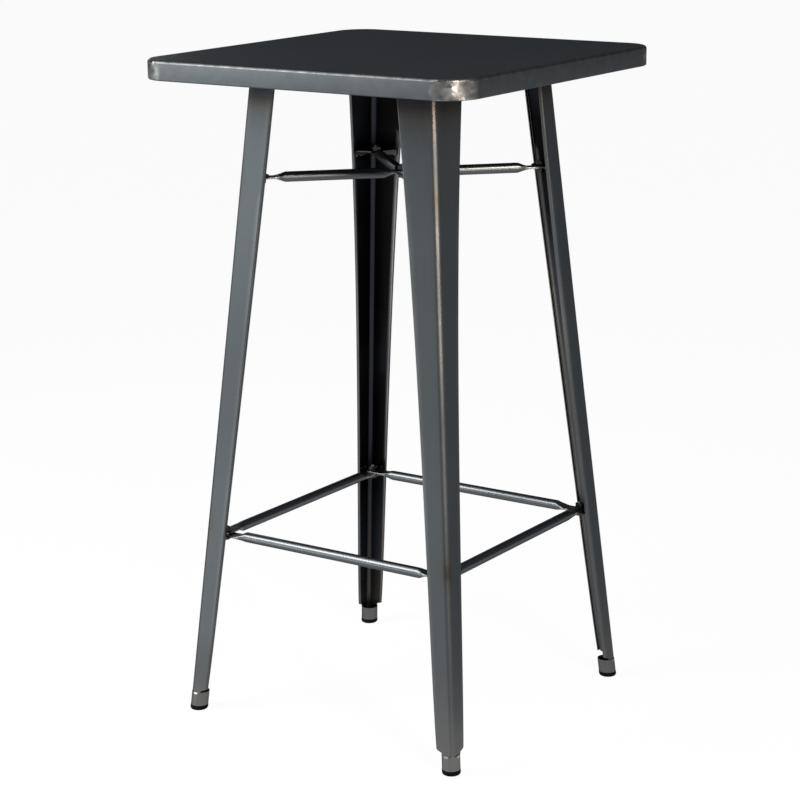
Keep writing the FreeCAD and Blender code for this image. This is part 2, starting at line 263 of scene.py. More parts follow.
def lacquered_steel(name, dark, pale, gloss, grain_scale, grain_depth, bare=BARE_STEEL,
                    edge_tint=EDGE_TINT, cloud_scale=5.0, polish=0.0, dent_depth=0.0):
    """Brushed steel under lacquer. Dark and pale are its two shades, and gloss is its lowest and
    its highest roughness. Worn places lose the polish from their roughness and show dents."""
    material = bpy.data.materials.new(name)
    material.use_nodes = True
    tree = material.node_tree
    shader = tree.nodes["Principled BSDF"]
    shader.inputs["Metallic"].default_value = 1.0
    shader.inputs["Specular Tint"].default_value = edge_tint
    lines = place_group(tree, brushed_lacquer, Grain_Scale=grain_scale, Cloud_Scale=cloud_scale)
    grain, cloud, dent = [lines.outputs[title] for title in ("Grain", "Cloud", "Dent")]
    shade = math_node(tree, "MULTIPLY", math_node(tree, "ADD", grain, cloud), 0.5)
    steel = mix_colours(tree, shade, dark, pale)
    # wear_and_sheen: real wear and painted highlights. scorch_and_shade: heat and painted shade.
    worn_and_sheen = place_group(tree, worn_fold_and_sheen, Steel=steel, Bare=bare, Wear=vertex_value(tree, "wear_and_sheen"),
                       Cloud=dent if dent_depth else cloud)
    wear_and_sheen_mask = worn_and_sheen.outputs["Mask"]
    heated_and_shaded = place_group(tree, weld_heat_and_shade, Steel=worn_and_sheen.outputs["Color"],
                         Heat=vertex_value(tree, "scorch_and_shade"), Cloud=cloud)
    tree.links.new(heated_and_shaded.outputs["Color"], shader.inputs["Base Color"])
    roughness = math_node(tree, "MULTIPLY_ADD", shade, gloss[1] - gloss[0], gloss[0])
    smoothed = math_node(tree, "MULTIPLY", wear_and_sheen_mask, polish)
    tree.links.new(math_node(tree, "SUBTRACT", roughness, smoothed), shader.inputs["Roughness"])
    bump = bump_node(tree, grain, grain_depth, GRAIN_HEIGHT)
    if dent_depth:
        worn_dents = math_node(tree, "MULTIPLY", dent, wear_and_sheen_mask)
        dents = bump_node(tree, worn_dents, dent_depth, DENT_HEIGHT)
        tree.links.new(dents.outputs["Normal"], bump.inputs["Normal"])
    tree.links.new(bump.outputs["Normal"], shader.inputs["Normal"])
    return material


tray_steel = lacquered_steel(
    "tray_steel", SHEET_DARK, SHEET_PALE, gloss=(0.42, 0.52), grain_scale=(9.0, 420.0, 420.0),
    grain_depth=0.10, polish=0.3, dent_depth=0.35)
leg_steel = lacquered_steel(
    "leg_steel", SHEET_DARK, SHEET_PALE, gloss=(0.42, 0.52), grain_scale=(380.0, 380.0, 7.0),
    grain_depth=0.10, polish=0.6)
# The tubes' shades are paler than the sheets': a painted reflection of the bright floor.
paler_lit_tube_steel = lacquered_steel(
    "paler_lit_tube_steel", (0.083, 0.087, 0.091, 1), (0.112, 0.118, 0.123, 1), gloss=(0.28, 0.33),
    grain_scale=(8.0, 8.0, 300.0), grain_depth=0.008)
bracket_steel = lacquered_steel(
    "bracket_steel", (0.045, 0.046, 0.048, 1), (0.075, 0.075, 0.076, 1), gloss=(0.32, 0.5),
    grain_scale=(90.0, 90.0, 90.0), grain_depth=0.12)
weld_steel = lacquered_steel(
    "weld_steel", (0.22, 0.21, 0.19, 1), (0.5, 0.48, 0.44, 1), gloss=(0.2, 0.42),
    grain_scale=(500.0, 500.0, 500.0), grain_depth=0.3, bare=(0.7, 0.68, 0.62, 1),
    edge_tint=(0.8, 0.8, 0.8, 1), cloud_scale=60.0)
black_zinc = lacquered_steel(
    "black_zinc", (0.03, 0.03, 0.03, 1), (0.07, 0.07, 0.068, 1), gloss=(0.26, 0.42),
    grain_scale=(700.0, 700.0, 700.0), grain_depth=0.12, bare=(0.4, 0.38, 0.34, 1),
    edge_tint=(0.5, 0.5, 0.5, 1), cloud_scale=120.0)
print("made the steel finishes")

# %% Foot rubber
RUBBER_BLACK, RUBBER_DUSTY = (0.002, 0.002, 0.002, 1), (0.006, 0.006, 0.006, 1)
RUBBER_GRAIN, RUBBER_CLOUD = (1200.0, 1200.0, 1200.0), 90.0
RUBBER_GLOSS, RUBBER_SPECULAR = (0.5, 0.75), 0.02
RUBBER_BUMP, RUBBER_BUMP_HEIGHT = 0.2, 0.0003


def moulded_rubber(name):
    material = bpy.data.materials.new(name)
    material.use_nodes = True
    tree = material.node_tree
    shader = tree.nodes["Principled BSDF"]
    shader.inputs["Specular IOR Level"].default_value = RUBBER_SPECULAR
    lines = place_group(tree, brushed_lacquer, Grain_Scale=RUBBER_GRAIN, Cloud_Scale=RUBBER_CLOUD)
    cloud = lines.outputs["Cloud"]
    dust = mix_colours(tree, cloud, RUBBER_BLACK, RUBBER_DUSTY)
    tree.links.new(dust, shader.inputs["Base Color"])
    low, high = RUBBER_GLOSS
    roughness = math_node(tree, "MULTIPLY_ADD", cloud, high - low, low)
    tree.links.new(roughness, shader.inputs["Roughness"])
    bump = bump_node(tree, lines.outputs["Grain"], RUBBER_BUMP, RUBBER_BUMP_HEIGHT)
    tree.links.new(bump.outputs["Normal"], shader.inputs["Normal"])
    return material


foot_rubber = moulded_rubber("foot_rubber")
print("made", foot_rubber.name)

# %% [markdown]
# ## How a piece is made
# Every piece is a shape, a list of points and a list of faces, worked out in millimetres about the
# table's own axis and turned into a mesh in metres at the end. Most shapes are lofts: a row of
# rings with the same number of points, joined ring to ring. The four corners are alike, so a corner
# piece is drawn once, where x and y are positive, and turned by quarter turns.

# %% Helpers for meshes
MM = 0.001
CORNERS = ("rear_right", "rear_left", "front_left", "front_right")
SIDES = ("rear", "left", "front", "right")
CIRCLE_STEPS = 36


def mix(first, second, share):
    return first + (second - first) * share


def clamped(value):
    return max(0.0, min(1.0, value))


def full_turn(steps):
    return [step / steps * 2 * math.pi for step in range(steps)]


def circle(height, radius, steps=CIRCLE_STEPS):
    return [Vector((radius * math.cos(angle), radius * math.sin(angle), height))
            for angle in full_turn(steps)]


def moved(shape, x, y, z):
    points, faces = shape
    return [point + Vector((x, y, z)) for point in points], faces


def turned(shape, quarter_turns):
    points, faces = shape
    turn = Matrix.Rotation(quarter_turns * math.pi / 2, 3, "Z")
    return [turn @ point for point in points], faces


def joined(shapes):
    points, faces = [], []
    for more_points, more_faces in shapes:
        start = len(points)
        points += more_points
        faces += [tuple(start + index for index in face) for face in more_faces]
    return points, faces


def loft(rings, ends="capped"):
    """A shape through rings of points: capped at both ends, or joined end to end."""
    count = len(rings[0])
    points = [point for ring in rings for point in ring]
    starts = list(range(0, len(points), count))
    pairs = list(zip(starts, starts[1:]))
    if ends == "joined":
        pairs.append((starts[-1], 0))
    faces = []
    for low, high in pairs:
        for index in range(count):
            after = (index + 1) % count
            faces.append((low + index, low + after, high + after, high + index))
    if ends == "capped":
        faces.append(tuple(range(count)))
        faces.append(tuple(range(len(points) - count, len(points))))
    return points, faces


def make_piece(name, shape, finish, stands_for=(), crease=32.0, values=None):
    """A mesh piece on the frame. The values are numbers at each point that its finish reads."""
    points, faces = shape
    mesh = bpy.data.meshes.new(name)
    mesh.from_pydata([point * MM for point in points], [], faces)
    shell = bmesh.new()
    shell.from_mesh(mesh)
    bmesh.ops.recalc_face_normals(shell, faces=shell.faces)
    shell.to_mesh(mesh)
    shell.free()
    mesh.shade_smooth()
    mesh.set_sharp_from_angle(angle=math.radians(crease))
    for title, numbers in (values or {}).items():
        mesh.attributes.new(title, "FLOAT", "POINT").data.foreach_set("value", numbers)
    mesh.materials.append(finish)
    piece = bpy.data.objects.new(name, mesh)
    scene.collection.objects.link(piece)
    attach(piece, "root")
    if stands_for:
        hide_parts(*stands_for)
    return piece


print("helpers for meshes are ready")

# %% [markdown]
# ## Tray top
# The top is one sheet, pressed over a square former: a flat field, a rolled upper edge, a straight
# rim and a narrow return underneath. A bevelled block would do for the outside, but the return and
# the sheet's thickness show from below. So one profile, from the field round to the underside, is
# carried around a square with rounded corners. Its corners are the most worn, and a little dented,
# and their paler worn patches also paint the glints of the lamps there.

# %% Tray top
TABLE_HEIGHT = 1100.0
TOP_SIDE = 610.0
TOP_SHEET = 1.5
RIM_HEIGHT = 32.0
TOP_CORNER_RADIUS = 54.0
TOP_EDGE_RADIUS = 5.0
RIM_RETURN = 12.0
RIM_FOLD_RADIUS = 2.2
TOP_FIELD_INSET = 9.0
TOP_CORNER_STEPS, ROLL_STEPS = 16, 6
# The corners' wear is partly real and partly painted glints of the lamps on the rounded corners.
RIM_WEAR, CORNER_WEAR_AND_GLINT, ROLL_WEAR = 0.04, 0.8, 0.14
CORNER_GLINT_FADE = 0.3 * TOP_CORNER_RADIUS
corner_start = TOP_SIDE / 2 - TOP_CORNER_RADIUS
rim_low = TABLE_HEIGHT - RIM_HEIGHT
roll_height = TABLE_HEIGHT - TOP_EDGE_RADIUS
fold_height = rim_low + RIM_FOLD_RADIUS


def rounded_square(inset, height):
    """A ring round the tray, moved inwards from its outside."""
    radius = TOP_CORNER_RADIUS - inset
    ring = []
    for turn, (side, end) in enumerate(((1, 1), (-1, 1), (-1, -1), (1, -1))):
        for step in range(TOP_CORNER_STEPS + 1):
            angle = (turn + step / TOP_CORNER_STEPS) * math.pi / 2
            x = side * corner_start + radius * math.cos(angle)
            y = end * corner_start + radius * math.sin(angle)
            ring.append(Vector((x, y, height)))
    return ring


def quarter(centre_inset, centre_height, radius, start, end):
    """Points of an arc in the profile; angles in quarter turns, 0 outwards and 1 upwards."""
    arc = []
    for step in range(ROLL_STEPS + 1):
        angle = mix(start, end, step / ROLL_STEPS) * math.pi / 2
        inset = centre_inset - radius * math.cos(angle)
        arc.append((inset, centre_height + radius * math.sin(angle)))
    return arc


profile = [(TOP_FIELD_INSET, TABLE_HEIGHT)]
profile += quarter(TOP_EDGE_RADIUS, roll_height, TOP_EDGE_RADIUS, 1, 0)
profile += quarter(RIM_FOLD_RADIUS, fold_height, RIM_FOLD_RADIUS, 0, -1)
profile += [(RIM_RETURN, rim_low), (RIM_RETURN, rim_low + TOP_SHEET)]
profile += quarter(RIM_FOLD_RADIUS, fold_height, RIM_FOLD_RADIUS - TOP_SHEET, -1, 0)
profile += quarter(TOP_EDGE_RADIUS, roll_height, TOP_EDGE_RADIUS - TOP_SHEET, 0, 1)
profile += [(TOP_FIELD_INSET, TABLE_HEIGHT - TOP_SHEET)]
tray_rings = [rounded_square(inset, height) for inset, height in profile]
tray_wear_and_glint = []
for (inset, height), ring in zip(profile, tray_rings):
    on_rim = inset < TOP_EDGE_RADIUS
    roll_wear = ROLL_WEAR if on_rim and height > roll_height else 0.0
    for point in ring:
        into_corner = min(abs(point.x), abs(point.y)) - corner_start
        rim_wear_and_glint = mix(RIM_WEAR, CORNER_WEAR_AND_GLINT, clamped(into_corner / CORNER_GLINT_FADE))
        tray_wear_and_glint.append((rim_wear_and_glint if on_rim else 0.0) + roll_wear)
tray = make_piece("tray_top", loft(tray_rings), tray_steel, ["table_top"],
                  values={"wear_and_sheen": tray_wear_and_glint})
print("tray top:", len(tray.data.polygons), "faces")

# %% [markdown]
# ## Legs
# Each leg is a sheet folded lengthwise into an angle. The fold is a narrow bevel between two soft
# bends, the two free edges are turned in as lips, and towards the top the angle opens and widens.
# At the foot the flanges stop short and only the rounded corner goes on, as a tongue to the round
# ferrule. The section is worked out at many heights and lofted, which keeps the taper smooth.
# The inside of the angle is painted dark towards the top as shade, and in the rear left leg nearly
# all the way down. The legs' tops are painted dark as the tray's shadow. Outside, the folds are
# polished by hands and their paler metal also paints the fold's highlight, and the lower ends are
# scuffed by shoes and painted paler as the floor's reflection.

# %% Leg section
LEG_TOP_SPAN, LEG_FOOT_SPAN = 349.0, 535.0
LEG_TOP = 1080.5
FERRULE_TOP = 32.0
LEG_SHEET = 1.5
LEG_FLANGE = (31.5, 62.0)
TAPER_SHARE, TAPER_POWER, FLARE_POWER = 0.56, 0.6, 3
LEG_FOLD_RADIUS = 8.0
LEG_BEVEL = (0.6, 3.0)
LEG_LIP, LEG_LIP_RADIUS = 6.0, 2.5
LEG_OPENING, OPENING_POWER = math.radians(15.0), 3
FLAT_STEPS, ARC_STEPS = 5, 8


def corner_at(height):
    """How far the leg's outer faces lie from the table's axis."""
    return mix(LEG_FOOT_SPAN, LEG_TOP_SPAN, height / LEG_TOP) / 2


def leg_share(height):
    return (height - FERRULE_TOP) / (LEG_TOP - FERRULE_TOP)


def flange_at(height):
    share = max(0.0, leg_share(height))
    flare = (1 - TAPER_SHARE) * share ** FLARE_POWER
    return mix(*LEG_FLANGE, TAPER_SHARE * share ** TAPER_POWER + flare)


def opening_at(height):
    return LEG_OPENING * leg_share(height) ** OPENING_POWER


def flange_point(height, along, depth):
    """A point on one flange: along it from the sharp corner, and deep under its outer face."""
    opening = opening_at(height)
    run = Vector((math.sin(opening), -math.cos(opening), 0))
    face = Vector((math.cos(opening), math.sin(opening), 0))
    corner = Vector((corner_at(height), corner_at(height), height))
    return corner + run * along - face * depth


def mirrored(points):
    """The same points on the other flange."""
    return [Vector((point.y, point.x, point.z)) for point in points]


def leg_outline(height, tongue=None):
    """The outer face in section, from lip to lip or just across a tongue."""
    opening = opening_at(height)
    bend = math.pi / 4 - opening
    setback = mix(*LEG_BEVEL, leg_share(height)) + 2 * LEG_FOLD_RADIUS * math.tan(bend / 2)
    setback /= math.sqrt(2) * (math.sin(opening) + math.cos(opening))
    width = flange_at(height)
    ends = [(tongue, 0)] if tongue else [(width, LEG_LIP), (width, 0)]
    points = [flange_point(height, along, depth) for along, depth in ends + [(setback, 0)]]
    return points + mirrored(points[::-1])


def inset_path(points, distance):
    runs = [(end - start).normalized() for start, end in zip(points, points[1:])]
    sides = [Vector((-run.y, run.x, 0)) for run in runs]
    inset = [points[0] + sides[0] * distance]
    for point, first, second in zip(points[1:-1], sides, sides[1:]):
        inset.append(point + (first + second) * (distance / (1 + first.dot(second))))
    return inset + [points[-1] + sides[-1] * distance]


def flat_between(start, end):
    return [start.lerp(end, step / FLAT_STEPS) for step in range(1, FLAT_STEPS)]


def folded_path(points, radii):
    """A path with rounded corners, and with a few points along each flat."""
    path = [points[0]]
    for before, corner, after, radius in zip(points, points[1:], points[2:], radii):
        back, onward = (before - corner).normalized(), (after - corner).normalized()
        half = back.angle(onward) / 2
        centre = corner + (back + onward).normalized() * (radius / math.sin(half))
        start = corner + back * (radius / math.tan(half)) - centre
        end = corner + onward * (radius / math.tan(half)) - centre
        path += flat_between(path[-1], centre + start)
        total = start.angle(end)
        for step in range(ARC_STEPS + 1):
            share = step / ARC_STEPS
            swing = start * math.sin((1 - share) * total) + end * math.sin(share * total)
            path.append(centre + swing / math.sin(total))
    return path + flat_between(path[-1], points[-1]) + [points[-1]]


def leg_section(height, tongue=None):
    outline = leg_outline(height, tongue)
    folds = (LEG_FOLD_RADIUS, LEG_FOLD_RADIUS)
    radii = folds if tongue else (LEG_LIP_RADIUS, *folds, LEG_LIP_RADIUS)
    outer = folded_path(outline, radii)
    inner = folded_path(inset_path(outline, LEG_SHEET), [radius - LEG_SHEET for radius in radii])
    return outer, inner


print("leg section:", len(leg_section(LEG_TOP)[0]), "points on each side of the sheet")

# %% Leg mesh
LEG_LEVELS, LEVEL_POWER = 72, 1.2
NOTCH_TOP, NOTCH_LOW = 39.5, 35.3
TONGUE_WIDTH, TONGUE_STEPS = 21.5, 4
tongue_start = FLAT_STEPS + ARC_STEPS
tongue_end = tongue_start + 3 * FLAT_STEPS + 2 * ARC_STEPS


def strip_faces(low, high):
    """Quads between two rows of points."""
    return [(low[i], low[i + 1], high[i + 1], high[i]) for i in range(len(low) - 1)]


def tongue_levels():
    """Heights below the notch, each with the tongue's width."""
    full_width = flange_at(NOTCH_TOP)
    levels = [(FERRULE_TOP, TONGUE_WIDTH)]
    for step in range(TONGUE_STEPS):
        share = step / TONGUE_STEPS
        width = min(mix(TONGUE_WIDTH, full_width, share), full_width - LEG_LIP_RADIUS)
        levels.append((mix(NOTCH_LOW, NOTCH_TOP, share), width))
    return levels


def draw_leg():
    """A leg's shape, and for each point whether it is on the inside."""
    points, faces, rows, inside = [], [], [], []
    levels = tongue_levels()
    split = len(levels)
    for level in range(LEG_LEVELS + 1):
        levels.append((mix(NOTCH_TOP, LEG_TOP, (level / LEG_LEVELS) ** LEVEL_POWER), None))
    for height, tongue in levels:
        sides = []
        for is_inside, path in zip((False, True), leg_section(height, tongue)):
            sides.append(list(range(len(points), len(points) + len(path))))
            points += path
            inside += [is_inside] * len(path)
        rows.append(sides)
    notch = rows[split]
    tongue_rows = rows[:split] + [[side[tongue_start:tongue_end + 1] for side in notch]]
    for level_rows in (tongue_rows, rows[split:]):
        for (outer, inner), (outer_next, inner_next) in zip(level_rows, level_rows[1:]):
            faces += strip_faces(outer, outer_next) + strip_faces(inner, inner_next)
            for end in (0, -1):
                faces.append((outer[end], inner[end], inner_next[end], outer_next[end]))
    faces += strip_faces(*rows[0]) + strip_faces(*rows[-1])
    for part in (slice(0, tongue_start + 1), slice(tongue_end, None)):
        faces += strip_faces(notch[0][part], notch[1][part])
    return (points, faces), inside


leg_shape, leg_inside = draw_leg()
print("leg mesh:", len(leg_shape[1]), "faces")

# %% Wear, heat and painted light and shade on the legs
BRACE_HEIGHT, STRETCHER_HEIGHT = 904.0, 308.0
# Painted shade inside the angle: where it starts, where it is full, and how dark.
INSIDE_SHADE = (390.0, 820.0, 0.96)
DEEP_INSIDE_SHADE = (-250.0, 330.0, 1.0)
# Painted shadow of the tray on the legs' tops: how dark, and how far down.
TRAY_SHADOW, TRAY_SHADOW_REACH = 0.95, 55.0
WELD_MARKS = ((STRETCHER_HEIGHT + 16, 0.6), (BRACE_HEIGHT - 4, 0.35))
WELD_MARK_WIDTH, WELD_MARK_HEIGHT = 14.0, 22.0
# In the fold the painted shade inside is thinner, where a lit stripe shows.
FOLD_INSIDE, FOLD_INSIDE_SHARE = 7.0, 0.75
# Paler lower ends: shoe scuffs and a painted reflection of the floor.
FOOT_SCUFF_AND_SHEEN, FOOT_SCUFF_AND_SHEEN_REACH = 0.42, 75.0
LIP_WEAR, LIP_WEAR_INSIDE, LIP_REACH = 0.14, 0.4, 3.0
# Paler fold: hand polish and a painted highlight, strongest at the top.
FOLD_WEAR_AND_SHEEN, FOLD_SHEEN_POWER, FOLD_REACH = (0.07, 0.6), 3, 3.6


def outside_wear_and_sheen(point, from_corner, on_lip):
    """Wear along the fold, on the lips and at the foot. Along the fold it is also a painted
    highlight that fades downwards, and at the foot a painted reflection of the floor.
    """
    rise = max(0.0, leg_share(point.z)) ** FOLD_SHEEN_POWER
    fold_wear_and_sheen = mix(*FOLD_WEAR_AND_SHEEN, rise) * clamped(2 - from_corner / FOLD_REACH)
    scuff_and_sheen = FOOT_SCUFF_AND_SHEEN * math.exp(-point.z / FOOT_SCUFF_AND_SHEEN_REACH)
    return max(LIP_WEAR if on_lip else 0.0, fold_wear_and_sheen, scuff_and_sheen)


def tray_shadow_and_heat_at(point):
    """Painted shadow of the tray at the leg's top, and heat round the bracket welds."""
    marks = [TRAY_SHADOW * math.exp(-((LEG_TOP - point.z) / TRAY_SHADOW_REACH) ** 2)]
    across = (point.x - point.y) / WELD_MARK_WIDTH
    for height, strength in WELD_MARKS:
        upright = (point.z - height) / WELD_MARK_HEIGHT
        marks.append(strength * math.exp(-across ** 2 - upright ** 2))
    return max(marks)


def leg_values(inside_shade):
    """Wear and scorch at each point, painted light and shade among them. The painted shade inside
    the angle, which goes into scorch_and_shade, starts at one height, is full at another, and is
    thinner in the fold, where a lit stripe shows."""
    shade_low, shade_high, shade_dark = inside_shade
    wear_and_sheen, scorch_and_shade = [], []
    for point, is_inside in zip(leg_shape[0], leg_inside):
        reach = corner_at(point.z)
        from_corner = max(abs(reach - point.x), abs(reach - point.y))
        on_lip = from_corner > flange_at(point.z) - LIP_REACH
        marks = tray_shadow_and_heat_at(point)
        if is_inside and not on_lip:
            rise = clamped((point.z - shade_low) / (shade_high - shade_low))
            thinned = FOLD_INSIDE_SHARE if from_corner < FOLD_INSIDE else 1.0
            marks = max(marks, shade_dark * rise * thinned)
        scorch_and_shade.append(marks)
        if is_inside:
            wear_and_sheen.append(LIP_WEAR_INSIDE if on_lip else 0.0)
        else:
            wear_and_sheen.append(outside_wear_and_sheen(point, from_corner, on_lip))
    return {"wear_and_sheen": wear_and_sheen, "scorch_and_shade": scorch_and_shade}


for count, corner in enumerate(CORNERS):
    # The rear left leg gets deeper painted shade inside, nearly to the floor.
    inside_shade = DEEP_INSIDE_SHADE if corner == "rear_left" else INSIDE_SHADE
    make_piece("folded_leg_" + corner, turned(leg_shape, count), leg_steel,
               ["leg_" + corner], values=leg_values(inside_shade))
print("legs:", len(CORNERS))

# %% [markdown]
# ## Feet
# A short piece of tube, the ferrule, is welded under each leg's tongue and leans with the leg. A
# black rubber plug closes it, with a rounded sole. Rings stacked along the leaning axis give both.
# The ferrule stands out a little from the leg's flat faces, so its upper edge is ground to a slope
# there. The rings are cut off by that slope, which leaves a small bright flat on either side.

# %% Ferrules and rubber feet
FERRULE_RADIUS, FERRULE_INSET = 14.8, 12.6
FERRULE_CHAMFER, BORE_CHAMFER, TOP_EASE = 0.5, 0.3, 0.1
FERRULE_CREASE, SOLE_CREASE = 14.0, 50.0
FOOT_HEIGHT, FOOT_OVERHANG = 8.0, 0.3
PLUG_CLEARANCE, PLUG_TOP, PLUG_CHAMFER = 0.3, 22.0, (1.0, 0.7)
SOLE_CURVE = ((0.0, 3.2), (0.35, 1.9), (1.2, 0.8), (2.6, 0.15), (4.2, 0.0), (7.3, 0.0),
              (7.8, 0.25), (FOOT_HEIGHT, 0.8))
ROUND_STEPS = 80
GROUND_HEIGHT, GROUND_STEPS = 3.6, 10
GROUND_LEDGE, GROUND_WALL = 1.5, 0.7
GROUND_WEAR, GROUND_BRIGHT, GROUND_MARGIN = 1.3, 4.6, 0.05
FERRULE_SCUFF = 0.4
bore = FERRULE_RADIUS - LEG_SHEET
ground_low = FERRULE_TOP - GROUND_HEIGHT
ground_ledge = FERRULE_INSET + GROUND_LEDGE


def foot_ring(height, radius, limit=None):
    """A level ring round the leaning axis, cut off at a distance from it on both faces."""
    axis = corner_at(height) - FERRULE_INSET
    limit = limit or radius
    ring = []
    for angle in full_turn(ROUND_STEPS):
        across, along = radius * math.cos(angle), radius * math.sin(angle)
        ring.append(Vector((axis + min(across, limit), axis + min(along, limit), height)))
    return ring


def ground_limit(height):
    """How far out the ground slope lets the ferrule reach."""
    return mix(ground_ledge, FERRULE_RADIUS, (FERRULE_TOP - height) / GROUND_HEIGHT)


def ferrule_wear(point):
    """Bright on the ground flats, and scuffed everywhere else."""
    axis = corner_at(point.z) - FERRULE_INSET
    reach, aside = max(point.x, point.y) - axis, min(point.x, point.y) - axis
    on_slope = point.z > ground_low and reach > ground_limit(point.z) - GROUND_MARGIN
    return GROUND_WEAR if on_slope and abs(aside) < GROUND_BRIGHT else FERRULE_SCUFF


ferrule_rings = [
    (FOOT_HEIGHT + FERRULE_CHAMFER, bore), (FOOT_HEIGHT, bore + BORE_CHAMFER),
    (FOOT_HEIGHT, FERRULE_RADIUS - FERRULE_CHAMFER), (FOOT_HEIGHT + FERRULE_CHAMFER, FERRULE_RADIUS)]
for step in range(GROUND_STEPS):
    height = FERRULE_TOP - GROUND_HEIGHT * (1 - step / GROUND_STEPS)
    ferrule_rings.append((height, FERRULE_RADIUS, ground_limit(height)))
ferrule_rings += [
    (FERRULE_TOP, FERRULE_RADIUS - TOP_EASE, ground_ledge),
    (FERRULE_TOP, bore, FERRULE_INSET - GROUND_WALL), (ground_low, bore)]
ferrule = loft([foot_ring(*ring) for ring in ferrule_rings], "joined")
ferrule_values = {"wear_and_sheen": [ferrule_wear(point) for point in ferrule[0]]}

sole_radius, plug_radius = FERRULE_RADIUS + FOOT_OVERHANG, bore - PLUG_CLEARANCE
sole_rings = [(height, sole_radius - inset) for height, inset in SOLE_CURVE]
sole_rings += [
    (FOOT_HEIGHT, plug_radius), (PLUG_TOP - PLUG_CHAMFER[0], plug_radius),
    (PLUG_TOP, plug_radius - PLUG_CHAMFER[1])]
sole = loft([foot_ring(*ring) for ring in sole_rings])
for count, corner in enumerate(CORNERS):
    make_piece("ferrule_tube_" + corner, turned(ferrule, count), leg_steel,
               ["ferrule_" + corner], FERRULE_CREASE, ferrule_values)
    make_piece("rubber_sole_" + corner, turned(sole, count), foot_rubber,
               ["rubber_foot_" + corner], SOLE_CREASE)
print("ferrules and feet: four of each")

# %% [markdown]
# ## Tubes
# The stretchers and the crossed braces are round tubes, pressed flat where they are bolted. Between
# round and flat lies a short pencil-shaped taper. A superellipse gives every section: its power
# rises from two, a circle, to a high number, which is nearly a rectangle, while its width grows
# and its height falls.

# %% Pressed tubes
TUBE_DIAMETER = 17.0
FLAT_WIDTH, FLAT_THICKNESS = 23.0, 3.2
ROUND_POWER, FLAT_POWER = 2, 9.0
SWAGE_LENGTH, SWAGE_STEPS, SWAGE_SOFTNESS = 19.0, 9, 0.45
NOSE_STEPS, NOSE_REACH = 8, 0.985
TUBE_STEPS, TUBE_CREASE = 48, 40.0
# Pale flat edges: press wear, and also the painted glint along them.
FLAT_EDGE_WEAR_AND_GLINT = 0.7
FLAT_EDGE_START, FLAT_EDGE_END = 0.6 * TUBE_DIAMETER, FLAT_WIDTH / 4
FLAT_EDGE_HEIGHT = 1.6 * FLAT_THICKNESS


def tube_ring(place, width, height, power, rise):
    """A superellipse across the x axis."""
    ring = []
    for step in range(TUBE_STEPS):
        angle = (step + 0.5) / TUBE_STEPS * 2 * math.pi
        across, upright = math.cos(angle), math.sin(angle)
        across = math.copysign(abs(across) ** (2 / power), across) * width / 2
        upright = math.copysign(abs(upright) ** (2 / power), upright) * height / 2
        ring.append(Vector((place, across, rise + upright)))
    return ring


def taper(round_place, flat_place, rise):
    """Rings from the round tube to the flat."""
    rings = []
    for step in range(SWAGE_STEPS + 1):
        share = step / SWAGE_STEPS
        soft = mix(share, share * share * (3 - 2 * share), SWAGE_SOFTNESS)
        place = mix(round_place, flat_place, share)
        width = mix(TUBE_DIAMETER, FLAT_WIDTH, soft)
        height = mix(TUBE_DIAMETER, FLAT_THICKNESS, soft)
        power = ROUND_POWER * (FLAT_POWER / ROUND_POWER) ** (soft ** 2)
        rings.append(tube_ring(place, width, height, power, rise * soft))
    return rings


def nose(bolt_place, outward, rise):
    """Rings that round off a flattened end about its bolt."""
    rings = []
    for step in range(NOSE_STEPS):
        angle = step / NOSE_STEPS * math.pi / 2 * NOSE_REACH
        place = bolt_place + outward * FLAT_WIDTH / 2 * math.sin(angle)
        width = FLAT_WIDTH * math.cos(angle)
        rings.append(tube_ring(place, width, FLAT_THICKNESS, FLAT_POWER, rise))
    return rings


def pressed_tube(bolt_place, flat_run, rises, middle_flat=None):
    """A tube along x with flat ends, and a flat at its middle if half its length is given."""
    reach = bolt_place - flat_run
    rings = nose(-bolt_place, -1, rises[0])[::-1]
    rings += taper(SWAGE_LENGTH - reach, -reach, rises[0])[::-1]
    if middle_flat:
        rings += taper(-middle_flat - SWAGE_LENGTH, -middle_flat, rises[1])
        rings += taper(middle_flat + SWAGE_LENGTH, middle_flat, rises[1])[::-1]
    rings += taper(reach - SWAGE_LENGTH, reach, rises[2])
    rings += nose(bolt_place, 1, rises[2])
    return loft(rings)


def tube_values(points):
    """Wear along the edges of the flats, where the press rubbed, also painted as the glint along
    them.
    """
    end = max(point.x for point in points) - FLAT_EDGE_END
    wear_and_sheen = []
    for point in points:
        on_edge = abs(point.y) > FLAT_EDGE_START or abs(point.x) > end
        wear_and_sheen.append(FLAT_EDGE_WEAR_AND_GLINT if on_edge and abs(point.z) < FLAT_EDGE_HEIGHT else 0.0)
    return {"wear_and_sheen": wear_and_sheen}


print("pressed tube: flats", FLAT_WIDTH, "by", FLAT_THICKNESS, "mm")

# %% Stretchers and braces
STRETCHER_BOLT_INSET, STRETCHER_FLAT_RUN = 24.5, 26.0
BRACE_BOLT_INSET, BRACE_FLAT_RUN, BRACE_MIDDLE_FLAT = 26.0, 20.0, 13.0
half_flat = FLAT_THICKNESS / 2
stretcher_bolt = corner_at(STRETCHER_HEIGHT) - STRETCHER_BOLT_INSET
brace_bolt = corner_at(BRACE_HEIGHT) - BRACE_BOLT_INSET

stretcher = pressed_tube(stretcher_bolt, STRETCHER_FLAT_RUN, (half_flat, 0, -half_flat))
rear_stretcher = moved(stretcher, 0, stretcher_bolt, STRETCHER_HEIGHT)
for count, side in enumerate(SIDES):
    make_piece("stretcher_tube_" + side, turned(rear_stretcher, count), paler_lit_tube_steel,
               ["stretcher_" + side], TUBE_CREASE, tube_values(stretcher[0]))

